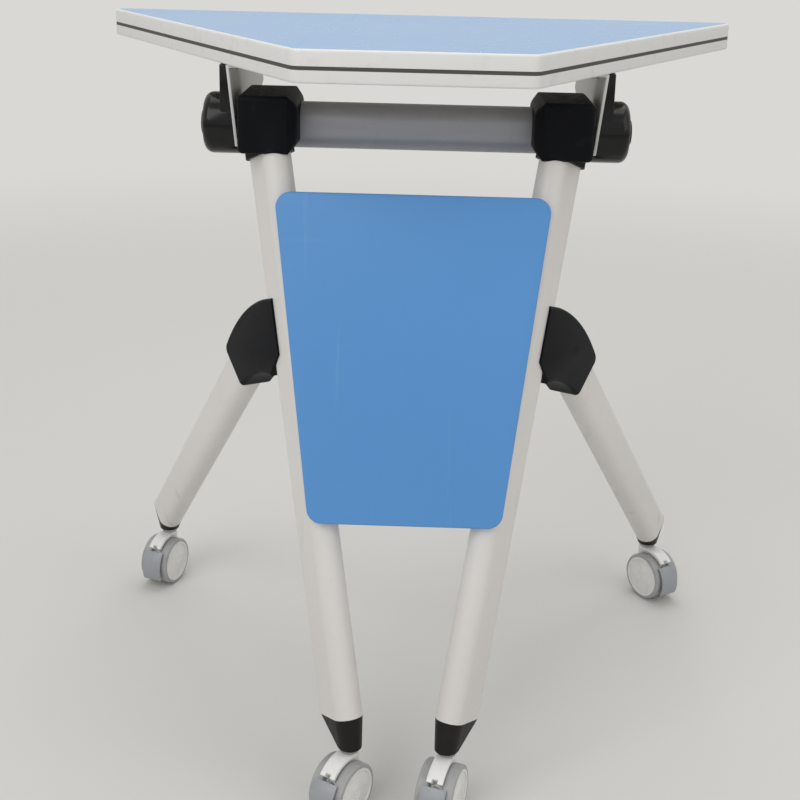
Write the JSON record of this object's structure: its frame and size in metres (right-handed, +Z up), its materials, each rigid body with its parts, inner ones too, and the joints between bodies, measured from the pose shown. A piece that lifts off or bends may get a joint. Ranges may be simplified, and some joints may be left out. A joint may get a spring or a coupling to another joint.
{
  "type": "flip-top desk",
  "caption": "Trapezoidal flip-top desk on slanted tube leg frames with braked swivel casters, a cross beam with push-button pivots and a front modesty panel.",
  "frame": {"origin": "On the floor under the middle of the standing footprint, as the desk rests on its casters.", "axes": "+Z up; X along the cross beam; -Y to the short front edge with the modesty panel, +Y to the long edge where a person sits."},
  "size_m": [0.7304, 0.5534, 0.75],
  "materials": {
    "board_core": "pressed wood core, sealed on its underside",
    "top_blue": "satin blue high-pressure laminate",
    "edge_white": "satin white edging with eased arrises",
    "inlay_dark": "dark line set in the edging",
    "panel_blue": "blue laminated panel, satin",
    "beam_grey": "silver-grey powder coat on extruded aluminium",
    "clip_black": "black moulded spacer",
    "bare_steel": "zinc-plated steel",
    "leg_white": "white powder coat on steel tube",
    "bracket_white": "white powder coat on steel plate",
    "casting_black": "black glass-filled nylon, fine texture",
    "cap_black": "black moulded foot cap",
    "cover_black": "glossy black moulding",
    "button_black": "black push button",
    "hood_silver": "silver-white glossy moulding",
    "pedal_grey": "blue-grey moulded lever",
    "wheel_grey": "light grey nylon disc",
    "tread_grey": "grey tread"
  },
  "bodies": {
    "frame": {"crossbeam": "beam_grey", "modesty_panel": "panel_blue", "panel_clips": "clip_black", "leg_bolts": "bare_steel", "caster_stems": "bare_steel", "left_corner_connector": "casting_black", "left_pivot_pin": "bare_steel", "left_front_leg": "leg_white", "left_rear_leg": "leg_white", "left_leg_joint": "casting_black", "left_front_foot_cap": "cap_black", "left_rear_foot_cap": "cap_black", "right_corner_connector": "casting_black", "right_pivot_pin": "bare_steel", "right_front_leg": "leg_white", "right_rear_leg": "leg_white", "right_leg_joint": "casting_black", "right_front_foot_cap": "cap_black", "right_rear_foot_cap": "cap_black"},
    "top": {"top_board": "board_core", "top_laminate": "top_blue", "edge_band": "edge_white", "edge_inlay": "inlay_dark", "bracket_screws": "bare_steel", "left_bracket": "bracket_white", "left_bracket_cover": "cover_black", "left_button_spring": "bare_steel", "right_bracket": "bracket_white", "right_bracket_cover": "cover_black", "right_button_spring": "bare_steel"},
    "left_button": {"left_release_button": "button_black"},
    "right_button": {"right_release_button": "button_black"},
    "front_left_caster": {"front_left_caster_hood": "hood_silver", "front_left_caster_axle": "bare_steel"},
    "front_left_pedal": {"front_left_brake_pedal": "pedal_grey"},
    "front_left_left_wheel_set": {"front_left_left_wheel": "wheel_grey", "front_left_left_tyre": "tread_grey"},
    "front_left_right_wheel_set": {"front_left_right_wheel": "wheel_grey", "front_left_right_tyre": "tread_grey"},
    "front_right_caster": {"front_right_caster_hood": "hood_silver", "front_right_caster_axle": "bare_steel"},
    "front_right_pedal": {"front_right_brake_pedal": "pedal_grey"},
    "front_right_left_wheel_set": {"front_right_left_wheel": "wheel_grey", "front_right_left_tyre": "tread_grey"},
    "front_right_right_wheel_set": {"front_right_right_wheel": "wheel_grey", "front_right_right_tyre": "tread_grey"},
    "rear_left_caster": {"rear_left_caster_hood": "hood_silver", "rear_left_caster_axle": "bare_steel"},
    "rear_left_pedal": {"rear_left_brake_pedal": "pedal_grey"},
    "rear_left_left_wheel_set": {"rear_left_left_wheel": "wheel_grey", "rear_left_left_tyre": "tread_grey"},
    "rear_left_right_wheel_set": {"rear_left_right_wheel": "wheel_grey", "rear_left_right_tyre": "tread_grey"},
    "rear_right_caster": {"rear_right_caster_hood": "hood_silver", "rear_right_caster_axle": "bare_steel"},
    "rear_right_pedal": {"rear_right_brake_pedal": "pedal_grey"},
    "rear_right_left_wheel_set": {"rear_right_left_wheel": "wheel_grey", "rear_right_left_tyre": "tread_grey"},
    "rear_right_right_wheel_set": {"rear_right_right_wheel": "wheel_grey", "rear_right_right_tyre": "tread_grey"}
  },
  "joints": [
    {"name": "top_flip", "type": "hinge", "parent": "frame", "child": "top", "pos_m": [0, -0.0247, 0.658], "axis": [-1, 0, 0], "range_deg": [0, 85]},
    {"name": "left_button_press", "type": "slide", "parent": "top", "child": "left_button", "axis": [1, 0, 0], "range_m": [0, 0.004], "stiffness_N_per_m": 600, "springref_m": -0.006, "deforming": ["left_button_spring"]},
    {"name": "right_button_press", "type": "slide", "parent": "top", "child": "right_button", "axis": [-1, 0, 0], "range_m": [0, 0.004], "stiffness_N_per_m": 600, "springref_m": -0.006, "deforming": ["right_button_spring"]},
    {"name": "front_left_swivel", "type": "hinge", "parent": "frame", "child": "front_left_caster", "pos_m": [-0.0485, -0.2267, 0.066], "axis": [0, 0, 1], "continuous": true},
    {"name": "front_left_brake", "type": "hinge", "parent": "front_left_caster", "child": "front_left_pedal", "pos_m": [-0.06625, -0.2551, 0.04601], "axis": [0.848, -0.5299, 0], "range_deg": [0, 7]},
    {"name": "front_left_left_roll", "type": "hinge", "parent": "front_left_caster", "child": "front_left_left_wheel_set", "pos_m": [-0.05539, -0.23773, 0.03], "axis": [0.848, -0.5299, 0], "continuous": true},
    {"name": "front_left_right_roll", "type": "hinge", "parent": "front_left_caster", "child": "front_left_right_wheel_set", "pos_m": [-0.05539, -0.23773, 0.03], "axis": [0.848, -0.5299, 0], "continuous": true},
    {"name": "front_right_swivel", "type": "hinge", "parent": "frame", "child": "front_right_caster", "pos_m": [0.0485, -0.2267, 0.066], "axis": [0, 0, 1], "continuous": true},
    {"name": "front_right_brake", "type": "hinge", "parent": "front_right_caster", "child": "front_right_pedal", "pos_m": [0.0376, -0.25837, 0.04601], "axis": [0.9455, -0.3256, 0], "range_deg": [0, 7]},
    {"name": "front_right_left_roll", "type": "hinge", "parent": "front_right_caster", "child": "front_right_left_wheel_set", "pos_m": [0.04427, -0.239, 0.03], "axis": [0.9455, -0.3256, 0], "continuous": true},
    {"name": "front_right_right_roll", "type": "hinge", "parent": "front_right_caster", "child": "front_right_right_wheel_set", "pos_m": [0.04427, -0.239, 0.03], "axis": [0.9455, -0.3256, 0], "continuous": true},
    {"name": "rear_left_swivel", "type": "hinge", "parent": "frame", "child": "rear_left_caster", "pos_m": [-0.32, 0.2513, 0.066], "axis": [0, 0, 1], "continuous": true},
    {"name": "rear_left_brake", "type": "hinge", "parent": "rear_left_caster", "child": "rear_left_pedal", "pos_m": [-0.332, 0.22003, 0.04601], "axis": [0.9336, -0.3584, 0], "range_deg": [0, 7]},
    {"name": "rear_left_left_roll", "type": "hinge", "parent": "rear_left_caster", "child": "rear_left_left_wheel_set", "pos_m": [-0.32466, 0.23916, 0.03], "axis": [0.9336, -0.3584, 0], "continuous": true},
    {"name": "rear_left_right_roll", "type": "hinge", "parent": "rear_left_caster", "child": "rear_left_right_wheel_set", "pos_m": [-0.32466, 0.23916, 0.03], "axis": [0.9336, -0.3584, 0], "continuous": true},
    {"name": "rear_right_swivel", "type": "hinge", "parent": "frame", "child": "rear_right_caster", "pos_m": [0.32, 0.2513, 0.066], "axis": [0, 0, 1], "continuous": true},
    {"name": "rear_right_brake", "type": "hinge", "parent": "rear_right_caster", "child": "rear_right_pedal", "pos_m": [0.33873, 0.22353, 0.04601], "axis": [0.829, 0.5592, 0], "range_deg": [0, 7]},
    {"name": "rear_right_left_roll", "type": "hinge", "parent": "rear_right_caster", "child": "rear_right_left_wheel_set", "pos_m": [0.32727, 0.24052, 0.03], "axis": [0.829, 0.5592, 0], "continuous": true},
    {"name": "rear_right_right_roll", "type": "hinge", "parent": "rear_right_caster", "child": "rear_right_right_wheel_set", "pos_m": [0.32727, 0.24052, 0.03], "axis": [0.829, 0.5592, 0], "continuous": true}
  ]
}
